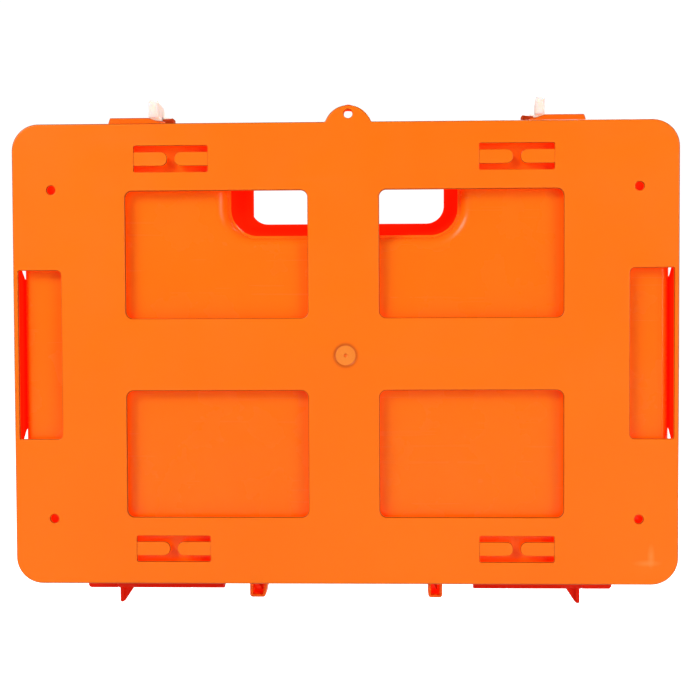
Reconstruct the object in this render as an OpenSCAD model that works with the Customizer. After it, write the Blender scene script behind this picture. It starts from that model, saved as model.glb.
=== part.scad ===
// Wall-hung emergency case with its wall bracket, turn clips and hand opening.
// Frame: +X right, +Y from the wall into the room, +Z up. Origin: centre of the bracket's
// four-screw pattern on its wall-side face. Sizes are in millimetres.

/* [Wall bracket] */
// width of the bracket plate
plate_w = 384; // [360:1:410]
// height of the bracket plate
plate_h = 267; // [250:1:285]
// corner radius of the plate
plate_r = 15.5; // [8:0.5:24]
// plate thickness
plate_t = 2.5; // [2:0.1:4]
// depth of the stiffening lip round the plate's edge
lip_y = 6; // [4:0.2:6.2]
// screw holes, distance apart across
screw_x = 338.5; // [320:0.5:350]
// screw holes, distance apart in height
screw_z = 191; // [180:0.5:200]
// screw hole radius
screw_r = 2.6; // [2:0.1:3.2]
// large windows, inner edge from the centre line
win_x0 = 20.7; // [15:0.1:30]
// large windows, outer edge
win_x1 = 126.2; // [115:0.1:135]
// large windows, lower edge from the centre line
win_z0 = 21; // [15:0.1:30]
// large windows, upper edge
win_z1 = 94.5; // [85:0.1:100]
// tongue slots, centre across
slot_x = 99.5; // [90:0.5:110]
// tongue slots, centre in height
slot_z = 113; // [108:0.5:118]
// tongue slots, width
slot_w = 43; // [35:0.5:50]
// tongue slots, height
slot_h = 15.2; // [12:0.2:18]
// tongue width
tongue_h = 8; // [6:0.2:10]
// half of the gap between two tongue tips
tongue_gap = 2.2; // [1.5:0.1:4]
// side windows, inner edge
side_x0 = 164; // [158:0.5:170]
// side arms, inner face
arm_x = 189; // [186.5:0.1:189.5]
// side arm thickness
arm_t = 2.5; // [2:0.1:3.4]
// half height of a side arm at the plate
arm_z = 49; // [40:0.5:55]
// reach of a side arm into the room
arm_y = 39.5; // [30:0.5:42]
// hook on the arm, inward reach
hook_x = 3.6; // [2:0.1:5]
// half height of a hook
hook_z = 38; // [25:0.5:42]
// hanging ear, centre across
ear_x = 3; // [0:0.5:6]
// hanging ear radius
ear_r = 14; // [10:0.5:18]
// hanging ear, centre height
ear_z = 129; // [125:0.5:132]
// hanging eye height
eye_z = 138; // [134:0.5:139]
// hanging eye radius
eye_r = 2.5; // [2:0.1:3]
// radius of the round gate mark at the middle
gate_r = 6; // [3:0.5:7]
// depth of the gate mark
gate_d = 0.35; // [0.1:0.05:0.6]

/* [Case shells] */
// back face of the case
back_y = 6.5; // [6.3:0.1:9]
// parting plane between the two shells
part_y = 68.1; // [60:0.1:75]
// front face of the lid
front_y = 143; // [125:0.5:150]
// gap between the two rims
rim_gap = 0.6; // [0.4:0.1:1]
// half width of the rims
rim_x = 199; // [195:0.5:203]
// half height of the rims
rim_z = 141; // [136:0.5:142]
// corner radius of the rims
rim_r = 28; // [20:1:40]
// depth of one rim
rim_d = 10; // [6:0.5:14]
// depth of the flare behind a rim
flare_d = 14; // [8:0.5:20]
// how far the body stands in from the rim across
step_x = 10.6; // [10.6:0.1:13]
// how far the body stands in from the rim in height
step_z = 9; // [6:0.1:12]
// shell wall thickness
wall = 2.8; // [2.2:0.1:3.5]
// width of the rim's land
land = 8.5; // [6:0.5:10]
// label recess on the lid, half width
label_x = 120; // [90:1:140]
// label recess, lower edge
label_z0 = -95; // [-110:1:-60]
// label recess, upper edge
label_z1 = 40; // [20:1:50]
// label recess depth
label_d = 0.8; // [0.4:0.1:1.2]

/* [Hand opening] */
// half width of the opening at the outer faces
hand_w0 = 66.4; // [60:0.2:72]
// half width of the opening at the parting plane
hand_w1 = 60.7; // [54:0.2:66]
// floor height at the outer faces
hand_z0 = 69; // [60:0.5:76]
// floor height at the parting plane
hand_z1 = 80; // [70:0.5:88]
// corner radius at the outer faces
hand_r0 = 16; // [10:0.5:20]
// corner radius at the parting plane
hand_r1 = 11; // [6:0.5:14]
// wall thickness round the opening
hand_t = 3.6; // [3.4:0.1:4.5]
// underside of the grip
grip_z = 112; // [105:0.5:118]
// depth of one grip half
grip_d = 14; // [10:0.5:18]

/* [Latches] */
// clip pivots, distance from the centre line
clip_x = 120; // [110:0.5:130]
// clip pivots, depth
clip_y = 61; // [58:0.2:61.2]
// clip bar thickness
clip_w = 5.4; // [4:0.2:8]
// clip bar, tail length from the pivot
clip_tail = 8; // [6:0.5:10]
// clip bar, nose length from the pivot
clip_nose = 25; // [24:0.5:28]
// top of the clips
clip_top = 156.2; // [152:0.2:162]
// turn left in the closed left clip, degrees outward
clip_turn_left = 2.5; // [0:0.5:8]
// turn left in the closed right clip, degrees outward
clip_turn_right = 5.5; // [0:0.5:8]
// top of the clip bosses and of the lid's catches
catch_z = 147; // [145:0.5:147.4]
// catch ridge, inner radius about the pivot
ridge_r0 = 13.5; // [12:0.5:15]
// catch ridge, outer radius about the pivot
ridge_r1 = 20.5; // [18:0.5:20.6]
// catch ridge, half width
ridge_x = 9.9; // [8:0.1:14]
// clip boss radius
boss_r = 6.5; // [5.5:0.1:6.6]
// clip pin radius
clip_pin_r = 2; // [1.5:0.1:2.5]
// radius of the clip's round foot on the boss
hub_r = 4; // [3.2:0.1:6.3]
// latch guard, foot of its inner slope
guard_x0 = 113; // [110:0.5:116]
// latch guard, outer end
guard_x1 = 146.2; // [142:0.1:150]
// latch guard, length of its inner slope
guard_slope = 8.5; // [6:0.5:12]
// top of the latch guards
guard_z = 144.2; // [143:0.1:144.8]
// latch guard, face towards the wall
guard_y0 = 46.5; // [44:0.5:48]
// latch guard, face towards the clip
guard_y1 = 54.3; // [52:0.1:54.4]

/* [Hinge and feet] */
// hinge axis height
hinge_z = -146.3; // [-148:0.1:-146]
// knuckle radius
knuckle_r = 5; // [4:0.1:5]
// hinge pin radius
pin_r = 1.5; // [1:0.1:2]
// inner end of a hinge
hinge_x0 = 79; // [70:0.5:90]
// outer end of a hinge
hinge_x1 = 165; // [160:0.5:170]
// length of the inner barrel on the wall-side shell
barrel_w = 21; // [15:0.5:25]
// inner end of the outer barrel on the wall-side shell
barrel_x = 147.5; // [147.4:0.1:150]
// height of the webs behind the barrels
web_h = 7; // [6:0.5:8]
// lower edge of the skirt in front of the barrels
skirt_z = -149.7; // [-151:0.1:-145]
// skirt thickness
skirt_t = 1.8; // [1.2:0.1:1.9]
// stop fin outer face
fin_x = 145.8; // [140:0.1:146.5]
// stop fin tip height
fin_z = -160; // [-165:0.5:-156]
// stop fin thickness
fin_t = 2.5; // [2:0.1:3]
// stop fin depth
fin_d = 6; // [4:0.5:7]
// length of the gusset beside the fin
gusset_w = 7; // [6:0.5:12]
// left foot, inner and outer face, distances from the centre line
left_foot = [51.9, 61.5]; // [45:0.1:66]
// left foot, how far its inner face slants outward from the rim down
foot_slant = 2.4; // [0:0.1:4]
// right foot, inner and outer face, distances from the centre line
right_foot = [50.1, 58.9]; // [45:0.1:66]
// underside of the feet
foot_z = -154; // [-160:0.1:-152]
// foot, end towards the wall
foot_y = 54; // [50:0.5:58]
// foot wall thickness
foot_t = 1.8; // [1.4:0.1:2.4]

/* [Inside] */
// clear cover thickness
cover_t = 2; // [1.5:0.1:3]
// cover knobs, distance from the centre line
knob_x = 168; // [150:0.5:172]
// cover knobs, height from the centre line
knob_z = 108; // [95:0.5:112]
// divider thickness
div_t = 2; // [1.5:0.1:3]
// front edge of the dividers
div_y = 62; // [50:0.5:64]
// low dividers, distance from the centre line
div_x = 62; // [50:1:90]
// shelf height
shelf_z = 10; // [0:0.5:30]
// shelf, half length
shelf_x = 178.8; // [170:0.1:178.8]
// back of the clear cover
cover_y = 72; // [71.9:0.1:74]
// knob shaft radius
knob_r = 2.5; // [2:0.1:3]
// knob head, half length of its oval
knob_head = 9; // [7:0.5:11]
// knob head, width of its oval
knob_w = 8; // [6:0.5:9]

/* [Hidden] */
base_rim = part_y - rim_gap / 2;
lid_rim = part_y + rim_gap / 2;
body_x = rim_x - step_x;
body_z = rim_z - step_z;
body_r = rim_r - 3;
orange = [1, 0.42, 0.09];
cloudy = [0.95, 0.93, 0.9];
steel = [0.7, 0.7, 0.72];
grey = [0.3, 0.3, 0.32];
clear = [0.85, 0.92, 0.95, 0.4];

// ---- shared shapes ----

// Extrudes an outline drawn in X and Z from depth y0 to depth y1.
module slab(y0, y1) {
  translate([0, y1, 0]) rotate([90, 0, 0]) linear_extrude(y1 - y0) children();
}

// Rounded rectangle with half sizes hx, hz and corner radius r.
module rrect(hx, hz, r, n = 64) {
  square([2 * hx, 2 * (hz - r)], center = true);
  square([2 * (hx - r), 2 * hz], center = true);
  for (sx = [-1, 1]) for (sz = [-1, 1])
    translate([sx * (hx - r), sz * (hz - r)]) circle(r, $fn = n);
}

// Rectangle between two corners with rounded corners.
module rbox(x0, x1, z0, z1, r) {
  translate([(x0 + x1) / 2, (z0 + z1) / 2]) rrect((x1 - x0) / 2, (z1 - z0) / 2, r);
}

// Upright U, open at the top: half width w, floor height f, corner radius r.
module ushape(w, f, r, n = 64) {
  translate([-w, f + r]) square([2 * w, 175 - f - r]);
  translate([-w + r, f]) square([2 * (w - r), 175 - f]);
  for (s = [-1, 1]) translate([s * (w - r), f + r]) circle(r, $fn = n);
}

// Thin rounded-rectangle section of a shell, for a hull.
module section(y, hx, hz, r) {
  slab(y - 0.01, y + 0.01) rrect(hx, hz, r, 32);
}

module hand_section(y, w, f, r) {
  slab(y - 0.01, y + 0.01) ushape(w, f, r, 32);
}

// Solid outside of the wall-side shell; the lid uses the same shape turned round.
module shell_outside(face, rim) {
  hull() {
    section(face + 0.01, body_x - 5.2, body_z - 5.2, body_r - 4);
    section(face + 1.3, body_x - 2.2, body_z - 2.2, body_r - 1.5);
    section(face + 4.5, body_x - 0.9, body_z - 0.9, body_r);
    section(rim - rim_d - flare_d, body_x, body_z, body_r);
  }
  hull() {
    section(rim - rim_d - flare_d, body_x, body_z, body_r);
    section(rim - rim_d, rim_x - 2.5, rim_z - 2, rim_r - 2);
  }
  slab(rim - rim_d, rim) rrect(rim_x, rim_z, rim_r);
}

// Space inside a shell, before the walls of the hand opening are put back.
module shell_inside(face, rim) {
  hull() {
    section(face + wall, body_x - 8.5, body_z - 8.5, body_r - 7);
    section(face + 7.5, body_x - wall - 0.8, body_z - wall - 0.8, body_r - 3);
    section(rim - rim_d - flare_d + 1, body_x - wall, body_z - wall, body_r - 3);
  }
  hull() {
    section(rim - rim_d - flare_d + 1, body_x - wall, body_z - wall, body_r - 3);
    section(rim - rim_d, rim_x - land, rim_z - land + 1, rim_r - 8);
  }
  slab(rim - rim_d, rim + 1) rrect(rim_x - land, rim_z - land + 1, rim_r - 8);
}

// Hand opening, from the outer face with its rounded edge to the parting plane.
module hand_space(face, rim) {
  hull() {
    hand_section(face + 7.5, hand_w0, hand_z0, hand_r0);
    hand_section(rim + 0.5, hand_w1, hand_z1, hand_r1);
  }
  hull() {
    hand_section(face - 1, hand_w0 + 8, hand_z0 - 8, hand_r0 + 7);
    hand_section(face + 1, hand_w0 + 4.5, hand_z0 - 4.5, hand_r0 + 4);
    hand_section(face + 7.5, hand_w0, hand_z0, hand_r0);
  }
}

// The opening's walls: the same space grown by their thickness.
module hand_walls(face, rim) {
  hull() {
    hand_section(face - 1, hand_w0 + hand_t, hand_z0 - hand_t, hand_r0 + hand_t);
    hand_section(rim + 0.5, hand_w1 + hand_t, hand_z1 - hand_t, hand_r1 + hand_t);
  }
  slab(rim - rim_d, rim + 1) ushape(hand_w1 + 6, hand_z1 - 6, hand_r1 + 5);
}

module shell_body(face, rim) {
  difference() {
    shell_outside(face, rim);
    difference() {
      shell_inside(face, rim);
      hand_walls(face, rim);
    }
    hand_space(face, rim);
  }
}

// A half grip's section: flat at the parting plane, rounded away from it.
module grip_half(y_flat, dir) {
  w = hand_w1 + 2.5;
  h = rim_z - grip_z;
  r = 9;
  translate([-w, y_flat, grip_z]) rotate([90, 0, 90]) linear_extrude(2 * w)
    scale([dir, 1]) difference() {
      union() {
        square([grip_d - r, h]);
        translate([0, r]) square([grip_d, h - 2 * r]);
        for (z = [r, h - r]) translate([grip_d - r, z]) circle(r, $fn = 48);
      }
      translate([-30, -1]) square([30, h + 2]);
      translate([-1, 4]) square([grip_d - 3.5, h - 8]);
    }
}

module x_cylinder(x0, x1, r) {
  translate([x0, part_y, hinge_z]) rotate([0, 90, 0]) cylinder(h = x1 - x0, r = r, $fn = 48);
}

// ---- wall bracket ----

module tongue_slot(sx, sz) {
  translate([sx * slot_x, sz * slot_z]) difference() {
    square([slot_w, slot_h], center = true);
    for (s = [-1, 1]) {
      translate([s * (slot_w / 2 + tongue_gap + 3.6) / 2, 0])
        square([slot_w / 2 - tongue_gap - 3.6, tongue_h], center = true);
      translate([s * (tongue_gap + 3.6), 0])
        intersection() { scale([0.9, 1]) circle(tongue_h / 2, $fn = 40); square(7.99, center = true); }
    }
  }
}

module side_arm(s) {
  scale([s, 1, 1]) {
    translate([arm_x, 0, 0]) rotate([90, 0, 90]) linear_extrude(arm_t)
      polygon([[0.1, arm_z], [plate_t, arm_z + 1.6], [7.5, arm_z + 1.6], [14, arm_z - 4],
               [arm_y, hook_z + 1], [arm_y, -hook_z - 1], [14, 4 - arm_z], [7.5, -arm_z - 1.6],
               [plate_t, -arm_z - 1.6], [0.1, -arm_z]]);
    translate([arm_x, 0, -hook_z]) linear_extrude(2 * hook_z)
      polygon([[0.5, arm_y], [0, arm_y], [-hook_x, arm_y - 2], [-hook_x, arm_y - 4],
               [0, arm_y - 4], [0.5, arm_y - 4]]);
  }
}

module wall_bracket() {
  color(orange) difference() {
    union() {
      slab(0, plate_t) rrect(plate_w / 2, plate_h / 2, plate_r);
      slab(plate_t - 0.1, lip_y) difference() {
        rrect(plate_w / 2, plate_h / 2, plate_r);
        rrect(plate_w / 2 - 2.5, plate_h / 2 - 2.5, plate_r - 2.5);
      }
      slab(0, lip_y - 1.5) translate([ear_x, ear_z]) circle(ear_r, $fn = 72);
      for (s = [-1, 1]) side_arm(s);
    }
    for (sx = [-1, 1]) for (sz = [-1, 1]) {
      scale([sx, 1, sz]) slab(-1, plate_t + 1) rbox(win_x0, win_x1, win_z0, win_z1, 4);
      slab(-1, plate_t + 1) tongue_slot(sx, sz);
      slab(-1, 0.6) translate([sx * slot_x, sz * slot_z])
        square([slot_w, tongue_h + 1], center = true);
      translate([sx * screw_x / 2, -1, sz * screw_z / 2]) rotate([-90, 0, 0])
        cylinder(h = plate_t + 2, r = screw_r, $fn = 40);
    }
    for (sx = [-1, 1]) scale([sx, 1, 1]) slab(-1, plate_t + 0.01)
      rbox(side_x0, arm_x, -arm_z, arm_z, 2);
    translate([ear_x, -1, eye_z]) rotate([-90, 0, 0]) cylinder(h = lip_y + 2, r = eye_r, $fn = 40);
    translate([1, -1, -0.7]) rotate([-90, 0, 0]) cylinder(h = 1 + gate_d, r = gate_r, $fn = 48);
  }
}

// ---- wall-side shell ----

module groove_cut(s) {
  scale([s, 1, 1]) translate([arm_x - hook_x - 0.5, arm_y - 4.5, -rim_z])
    cube([20, 5.5, rim_z + hook_z + 0.1]);
}

module groove_backing(s) {
  scale([s, 1, 1]) translate([arm_x - hook_x - 0.5 - wall, arm_y - 7.5, 4 - body_z])
    cube([wall + 3, 11.5, body_z + hook_z]);
}

module clip_boss(s) {
  translate([s * clip_x, clip_y, body_z - wall - 1])
    cylinder(h = catch_z - 3.2 - body_z + wall + 1, r = boss_r, $fn = 48);
}

module latch_guard(s) {
  scale([s, 1, 1]) slab(guard_y0, guard_y1) polygon([[guard_x0, body_z - 1], [guard_x1, body_z - 1],
    [guard_x1, rim_z], [guard_x1 - 1.2, guard_z], [guard_x0 + guard_slope, guard_z], [guard_x0, rim_z]]);
}

// Hollow foot, open towards the wall: x is its inner and outer face, slant that of the inner face.
module foot(s, x, slant) {
  scale([s, 1, 1]) difference() {
    slab(foot_y, base_rim) polygon([[x[0] - slant, 1 - rim_z], [x[0], foot_z], [x[1], foot_z],
                                    [x[1], 1 - rim_z]]);
    slab(foot_y - 1, foot_y + 10) polygon([[x[0] - slant + foot_t, -rim_z], [x[0] + foot_t, foot_z + foot_t],
      [x[1] - foot_t, foot_z + foot_t], [x[1] - foot_t, -rim_z]]);
  }
}

// Skirt that hides the barrels from the wall side, cut through where the stop fin swings.
module hinge_skirt() {
  y1 = part_y - knuckle_r - 0.4;
  difference() {
    translate([hinge_x0, y1 - skirt_t, skirt_z]) cube([hinge_x1 - hinge_x0, skirt_t, -rim_z + 2 - skirt_z]);
    translate([fin_x - fin_t - gusset_w - 0.7, y1 - 5, skirt_z - 1]) cube([gusset_w + fin_t + 1.6, 10, 12]);
  }
}

module base_knuckle(x0, x1) {
  x_cylinder(x0, x1, knuckle_r);
  translate([x0, part_y - 7, hinge_z]) cube([x1 - x0, base_rim - part_y + 7, web_h]);
}

module back_shell() {
  color(orange) difference() {
    union() {
      difference() {
        union() {
          shell_body(back_y, base_rim);
          intersection() {
            for (s = [-1, 1]) groove_backing(s);
            slab(back_y + 1, base_rim - 1) rrect(body_x - 1, body_z - 1, body_r);
          }
        }
        for (s = [-1, 1]) groove_cut(s);
      }
      foot(-1, left_foot, foot_slant);
      foot(1, right_foot, 0);
      for (s = [-1, 1]) {
        clip_boss(s);
        latch_guard(s);
        scale([s, 1, 1]) {
          hinge_skirt();
          base_knuckle(hinge_x0, hinge_x0 + barrel_w);
          base_knuckle(barrel_x, hinge_x1);
          // lug that meets the stop fin when the lid is open
          translate([141, part_y - 13.7, hinge_z + 3.3]) cube([8, 7.8, 4]);
        }
      }
    }
    for (s = [-1, 1]) {
      translate([s * clip_x, clip_y, 120]) cylinder(h = 40, r = clip_pin_r + 0.02, $fn = 40);
      scale([s, 1, 1]) x_cylinder(hinge_x0 - 1, hinge_x1 + 1, pin_r + 0.02);
    }
  }
}

module back_grip() {
  color(orange) grip_half(base_rim, -1);
}

// ---- lid ----

module lid_knuckle() {
  x0 = hinge_x0 + barrel_w + 0.4;
  x1 = barrel_x - 0.4;
  x_cylinder(x0, x1, knuckle_r);
  translate([x0, lid_rim, hinge_z]) cube([x1 - x0, part_y + 7 - lid_rim, web_h]);
  // stop fin with its gusset
  translate([fin_x - fin_t, part_y - fin_d / 2, fin_z]) cube([fin_t, fin_d, hinge_z - fin_z]);
  translate([0, part_y - 1.2, 0]) slab(0, 2.4) polygon([[fin_x - fin_t - gusset_w, hinge_z - 3],
    [fin_x - 1, hinge_z - 3], [fin_x - 1, fin_z], [fin_x - fin_t - 0.1, fin_z]]);
}

// Ridge on the lid that the clip's nose hooks behind, round the clip's pivot.
module catch_ridge(s) {
  intersection() {
    translate([s * clip_x, clip_y, rim_z - 5]) difference() {
      cylinder(h = catch_z + 0.4 - rim_z + 5, r = ridge_r1, $fn = 96);
      translate([0, 0, -1]) cylinder(h = 40, r = ridge_r0, $fn = 64);
    }
    translate([s * clip_x - ridge_x, lid_rim + 0.2, 120]) cube([2 * ridge_x, 30, 40]);
  }
}

module knob_post(sx, sz) {
  translate([sx * knob_x, cover_y + cover_t + 0.3, sz * knob_z]) rotate([-90, 0, 0])
    cylinder(h = front_y - 1 - cover_y - cover_t - 0.3, r = 2 * knob_r, $fn = 40);
}

module seal_ring(g0, g1) {
  difference() {
    difference() {
      rrect(rim_x - g0, rim_z - g0, rim_r - g0);
      ushape(hand_w1 + g0, hand_z1 - g0, hand_r1 + g0);
    }
    difference() {
      rrect(rim_x - g1, rim_z - g1, rim_r - g1);
      ushape(hand_w1 + g1, hand_z1 - g1, hand_r1 + g1);
    }
  }
}

module lid_shell() {
  color(orange) difference() {
    union() {
      translate([0, 2 * part_y, 0]) scale([1, -1, 1])
        shell_body(2 * part_y - front_y, base_rim);
      for (s = [-1, 1]) {
        catch_ridge(s);
        scale([s, 1, 1]) lid_knuckle();
        for (sz = [-1, 1]) knob_post(s, sz);
      }
    }
    slab(lid_rim - 1, lid_rim + 2) seal_ring(2.6, 4.9);
    slab(front_y - label_d, front_y + 1) rbox(-label_x, label_x, label_z0, label_z1, 8);
    for (s = [-1, 1]) {
      scale([s, 1, 1]) x_cylinder(hinge_x0 + barrel_w - 1, barrel_x + 0.5, pin_r + 0.06);
      for (sz = [-1, 1]) translate([s * knob_x, cover_y + cover_t, sz * knob_z]) rotate([-90, 0, 0])
        cylinder(h = 10, r = knob_r + 0.06, $fn = 40);
    }
  }
}

module lid_grip() {
  color(orange) grip_half(lid_rim, 1);
}

module lid_seal() {
  color(grey) slab(base_rim + 0.32, lid_rim + 1.95) seal_ring(2.65, 4.85);
}

// ---- hinge pins and clips ----

module hinge_pin(s) {
  color(steel) scale([s, 1, 1]) x_cylinder(hinge_x0 + 0.5, hinge_x1 - 0.5, pin_r);
}

module hinge_pin_left() { hinge_pin(-1); }

module hinge_pin_right() { hinge_pin(1); }

module turn_clip(s, turn) {
  color(cloudy) translate([s * clip_x, clip_y, 0]) rotate([0, 0, -s * turn]) difference() {
    union() {
      translate([0, 0, catch_z - 3]) cylinder(h = 2.2, r = hub_r, $fn = 48);
      // upright bar, cut away underneath where it passes over the ridge
      translate([-clip_w / 2, 0, 0]) rotate([90, 0, 90]) linear_extrude(clip_w)
        polygon([[-clip_tail, catch_z - 2], [-clip_tail, clip_top - 3], [-clip_tail + 3, clip_top],
                 [clip_nose - 3, clip_top], [clip_nose, clip_top - 3], [clip_nose, catch_z - 2.4],
                 [ridge_r1 + 0.5, catch_z - 2.4], [ridge_r1 + 0.5, catch_z + 1.2],
                 [ridge_r0 - 1.2, catch_z + 1.2], [ridge_r0 - 1.2, catch_z - 2]]);
      // nose widened round the pivot so it grips the whole ridge
      intersection() {
        translate([0, 0, catch_z - 2.4]) difference() {
          cylinder(h = 5.4, r = clip_nose, $fn = 96);
          translate([0, 0, -1]) cylinder(h = 8, r = ridge_r1 + 0.5, $fn = 96);
        }
        translate([-5, 15, 130]) cube([10, 20, 40]);
      }
    }
    translate([0, 0, 120]) cylinder(h = 33.3, r = clip_pin_r + 0.08, $fn = 40);
  }
}

module turn_clip_left() { turn_clip(-1, clip_turn_left); }

module turn_clip_right() { turn_clip(1, clip_turn_right); }

module clip_pin(s) {
  color(steel) translate([s * clip_x, clip_y, 0]) {
    translate([0, 0, body_z - wall - 1.1])
      cylinder(h = 153 - body_z + wall + 1.1, r = clip_pin_r, $fn = 40);
    translate([0, 0, body_z - wall - 2.9]) cylinder(h = 1.8, r = clip_pin_r + 1.8, $fn = 40);
  }
}

module clip_pin_left() { clip_pin(-1); }

module clip_pin_right() { clip_pin(1); }

// ---- inside of the case ----

module shelf_divider() {
  color(cloudy) translate([-shelf_x, back_y + wall + 0.2, shelf_z])
    cube([2 * shelf_x, div_y - back_y - wall - 0.2, div_t]);
}

module low_divider(s) {
  color(cloudy) translate([s * div_x - div_t / 2, back_y + wall + 0.2, 9 - body_z])
    cube([div_t, div_y - back_y - wall - 0.2, shelf_z - 0.1 - 9 + body_z]);
}

module divider_left() { low_divider(-1); }

module divider_right() { low_divider(1); }

module clear_cover() {
  color(clear) slab(cover_y, cover_y + cover_t) difference() {
    rrect(rim_x - land - 1.2, rim_z - land - 0.6, rim_r - 10);
    ushape(hand_w1 + 8, hand_z1 - 8, hand_r1 + 8);
    for (sx = [-1, 1]) for (sz = [-1, 1])
      translate([sx * knob_x, sz * knob_z]) circle(knob_r + 0.3, $fn = 40);
  }
}

module knob(sx, sz) {
  color(grey) translate([sx * knob_x, 0, sz * knob_z]) {
    slab(cover_y - 3.4, cover_y - 0.1)
      intersection() { circle(knob_head, $fn = 48); square([30, knob_w], center = true); }
    translate([0, cover_y - 4.2, 0]) rotate([-90, 0, 0]) cylinder(h = 4.1, r = 2 * knob_r, $fn = 48);
    translate([0, cover_y - 0.2, 0]) rotate([-90, 0, 0]) cylinder(h = 11.8, r = knob_r, $fn = 40);
  }
}

module knob_top_left() { knob(-1, 1); }

module knob_top_right() { knob(1, 1); }

module knob_low_left() { knob(-1, -1); }

module knob_low_right() { knob(1, -1); }

// ---- node switch ----

wall_bracket();
back_shell();
back_grip();
lid_shell();
lid_grip();
lid_seal();
hinge_pin_left();
hinge_pin_right();
turn_clip_left();
turn_clip_right();
clip_pin_left();
clip_pin_right();
shelf_divider();
divider_left();
divider_right();
clear_cover();
knob_top_left();
knob_top_right();
knob_low_left();
knob_low_right();
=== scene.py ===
import math

import bmesh
import bpy
import numpy as np
from mathutils import Matrix, Vector
from mathutils.geometry import tessellate_polygon


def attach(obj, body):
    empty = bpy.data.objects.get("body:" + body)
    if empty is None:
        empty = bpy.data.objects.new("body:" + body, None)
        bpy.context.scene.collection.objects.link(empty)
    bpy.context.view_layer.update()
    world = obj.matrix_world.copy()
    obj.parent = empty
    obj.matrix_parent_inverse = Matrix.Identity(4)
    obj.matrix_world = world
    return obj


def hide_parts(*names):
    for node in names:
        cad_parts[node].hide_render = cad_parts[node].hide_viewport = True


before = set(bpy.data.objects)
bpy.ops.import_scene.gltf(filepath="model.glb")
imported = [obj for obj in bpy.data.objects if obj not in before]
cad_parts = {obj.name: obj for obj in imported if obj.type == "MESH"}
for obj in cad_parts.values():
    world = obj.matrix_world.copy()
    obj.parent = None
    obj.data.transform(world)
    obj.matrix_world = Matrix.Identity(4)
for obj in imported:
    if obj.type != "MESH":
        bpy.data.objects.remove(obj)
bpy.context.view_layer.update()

# ---- Camera ----
# It stands on the wall's side of the case, level with the upper windows and a little to the right,
# and looks through the bracket's plate into the room.
EYE = Vector((0.0255, -0.6926, 0.0243))
AIM = Vector((0.0036, 0, 0.00244))
ROLL = math.radians(-0.24)
LENS, SENSOR = 61.86, 36.0

camera = bpy.data.objects.new("camera", bpy.data.cameras.new("camera"))
bpy.context.collection.objects.link(camera)
camera.data.lens, camera.data.sensor_width = LENS, SENSOR
camera.data.clip_start, camera.data.clip_end = 0.01, 50
camera.matrix_world = (Matrix.Translation(EYE)
                       @ (AIM - EYE).to_track_quat("-Z", "Y").to_matrix().to_4x4()
                       @ Matrix.Rotation(ROLL, 4, "Z"))
bpy.context.scene.camera = camera

# ---- Studio ----
# A white table and white surroundings. Three soft lamps stand on the wall's side: the largest at the upper
# left, one at the right, and a wide one low in front. One more in the room lights the lid.
bpy.context.scene.view_settings.view_transform = "Standard"

TABLE_Z = -0.30
table_mesh = bpy.data.meshes.new("table")
table_mesh.from_pydata([(-4, -1.9, TABLE_Z), (4, -1.9, TABLE_Z), (4, 6, TABLE_Z), (-4, 6, TABLE_Z)],
                       [], [(0, 1, 2, 3)])
table = bpy.data.objects.new("table", table_mesh)
bpy.context.collection.objects.link(table)
table_finish = bpy.data.materials.new("table_white")
table_finish.use_nodes = True
table_shader = table_finish.node_tree.nodes["Principled BSDF"]
table_shader.inputs["Base Color"].default_value = (0.7, 0.7, 0.7, 1)
table_shader.inputs["Roughness"].default_value = 0.7
table_shader.inputs["Emission Color"].default_value = (1, 1, 1, 1)
table_mesh.materials.append(table_finish)


def link(tree, source, output, target, entry):
    """Joins one node's output to another node's input, both by name or number."""
    tree.links.new(source.outputs[output], target.inputs[entry])


def ranged(tree, source, low, high, to=(0.0, 1.0)):
    """Map range node on a (node, output) pair, clamped."""
    made = tree.nodes.new("ShaderNodeMapRange")
    link(tree, *source, made, "Value")
    made.inputs["From Min"].default_value, made.inputs["From Max"].default_value = low, high
    made.inputs["To Min"].default_value, made.inputs["To Max"].default_value = to
    return made, "Result"


# the table glows where the camera looks at it, so that it stays as white as the surroundings
table_path = table_finish.node_tree.nodes.new("ShaderNodeLightPath")
link(table_finish.node_tree, table_path, "Is Camera Ray", table_shader, "Emission Strength")


def surroundings():
    """White where the camera looks at it. For the rest there are two domes: one lights the object evenly,
    and one is mirrored in it and is dim, so that gloss doesn't wash its colour out."""
    world = bpy.data.worlds.new("studio")
    bpy.context.scene.world = world
    world.use_nodes = True
    tree = world.node_tree
    tree.nodes.clear()
    place = tree.nodes.new("ShaderNodeTexCoord")
    split = tree.nodes.new("ShaderNodeSeparateXYZ")
    link(tree, place, "Generated", split, 0)
    domes = []
    for strengths in ((0.2, 0.2), (0.12, 0.03)):
        dome = tree.nodes.new("ShaderNodeBackground")
        dome.inputs["Color"].default_value = (1, 1, 1, 1)
        link(tree, *ranged(tree, (split, "Y"), -0.6, 0.5, strengths), dome, "Strength")
        domes.append(dome)
    seen = tree.nodes.new("ShaderNodeBackground")
    seen.inputs["Color"].default_value = (1, 1, 1, 1)
    seen.inputs["Strength"].default_value = 1.05
    path = tree.nodes.new("ShaderNodeLightPath")
    gloss = tree.nodes.new("ShaderNodeMixShader")
    link(tree, path, "Is Glossy Ray", gloss, 0)
    link(tree, domes[0], 0, gloss, 1)
    link(tree, domes[1], 0, gloss, 2)
    mix = tree.nodes.new("ShaderNodeMixShader")
    link(tree, path, "Is Camera Ray", mix, 0)
    link(tree, gloss, 0, mix, 1)
    link(tree, seen, 0, mix, 2)
    link(tree, mix, 0, tree.nodes.new("ShaderNodeOutputWorld"), "Surface")


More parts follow.
